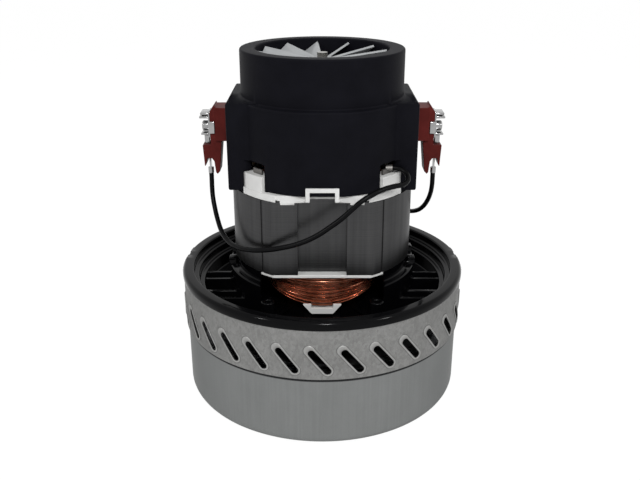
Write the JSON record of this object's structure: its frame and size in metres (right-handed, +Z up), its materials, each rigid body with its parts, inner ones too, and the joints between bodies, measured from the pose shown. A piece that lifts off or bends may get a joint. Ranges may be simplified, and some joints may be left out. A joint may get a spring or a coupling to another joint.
{
  "type": "vacuum motor unit",
  "caption": "Bypass vacuum motor: two-stage fan case with a slotted exhaust ring, carrying a universal motor with brush holders, field coils and a cooling fan.",
  "frame": {"origin": "centre of the can's underside, on the shaft's axis", "axes": "+Z up along the shaft from the can to the air mouth, +X to the right brush holder, -Y the front with the field coil's terminals"},
  "size_m": [0.1439, 0.1439, 0.1742],
  "materials": {
    "zinc_sheet": "satin",
    "black_gloss": "gloss",
    "black_matte": "matte",
    "lamination": "satin",
    "white_plastic": "satin",
    "copper": "gloss",
    "red_plastic": "satin",
    "tin": "satin",
    "brass": "satin",
    "carbon": "matte",
    "steel": "satin",
    "aluminium": "satin",
    "black_rubber": "satin"
  },
  "bodies": {
    "motor": {"lower_can": "zinc_sheet", "slotted_ring": "zinc_sheet", "fan_end_bracket": "black_gloss", "upper_housing": "black_matte", "stator_core": "lamination", "lower_insulator": "white_plastic", "upper_insulator": "white_plastic", "field_coil_front": "copper", "field_coil_rear": "copper", "brush_holder_left": "red_plastic", "brush_holder_right": "red_plastic", "brush_clip_left": "tin", "brush_clip_right": "tin", "lead_terminal_left": "tin", "lead_terminal_right": "tin", "coil_terminals": "tin", "supply_terminals": "tin", "brush_tube_left": "brass", "brush_tube_right": "brass", "motor_bolts": "steel", "diffuser_screws": "steel", "retainer_screws": "steel", "bearing_retainer": "steel", "wave_washer": "steel", "brush_spring_left": "steel", "brush_spring_right": "steel", "lower_bearing_outer": "steel", "upper_bearing_outer": "steel", "return_guide": "aluminium", "diffuser_plate": "aluminium", "lead_left": "black_rubber", "lead_right": "black_rubber", "shaft_seal": "black_rubber"},
    "rotor": {"rotor_shaft": "steel", "armature_core": "lamination", "armature_winding": "copper", "commutator": "copper", "cooling_fan": "white_plastic", "fan_spacer": "steel", "first_impeller": "aluminium", "second_impeller": "aluminium", "impeller_spacer": "steel", "bearing_spacer": "steel", "clamp_washers": "steel", "impeller_nut": "steel", "lower_bearing_inner": "steel", "upper_bearing_inner": "steel"},
    "lower_cage": {"lower_bearing_balls": "steel"},
    "upper_cage": {"upper_bearing_balls": "steel"},
    "left_brush": {"brush_left": "carbon"},
    "right_brush": {"brush_right": "carbon"}
  },
  "joints": [
    {"name": "rotor_spin", "type": "hinge", "parent": "motor", "child": "rotor", "pos_m": [0, 0, 0.1], "axis": [0, 0, 1], "continuous": true},
    {"name": "lower_cage_spin", "type": "hinge", "parent": "motor", "child": "lower_cage", "pos_m": [0, 0, 0.0515], "axis": [0, 0, 1], "continuous": true},
    {"name": "upper_cage_spin", "type": "hinge", "parent": "motor", "child": "upper_cage", "pos_m": [0, 0, 0.152], "axis": [0, 0, 1], "continuous": true},
    {"name": "left_brush_slide", "type": "slide", "parent": "motor", "child": "left_brush", "axis": [-1, 0, 0], "range_m": [0, 0.008], "stiffness_N_per_m": 150, "springref_m": -0.012, "deforming": ["brush_spring_left"]},
    {"name": "right_brush_slide", "type": "slide", "parent": "motor", "child": "right_brush", "axis": [1, 0, 0], "range_m": [0, 0.008], "stiffness_N_per_m": 150, "springref_m": -0.012, "deforming": ["brush_spring_right"]}
  ],
  "couplings": [
    {"joint": "lower_cage_spin", "follows": "rotor_spin", "ratio": 0.36933},
    {"joint": "upper_cage_spin", "follows": "rotor_spin", "ratio": 0.37077}
  ]
}
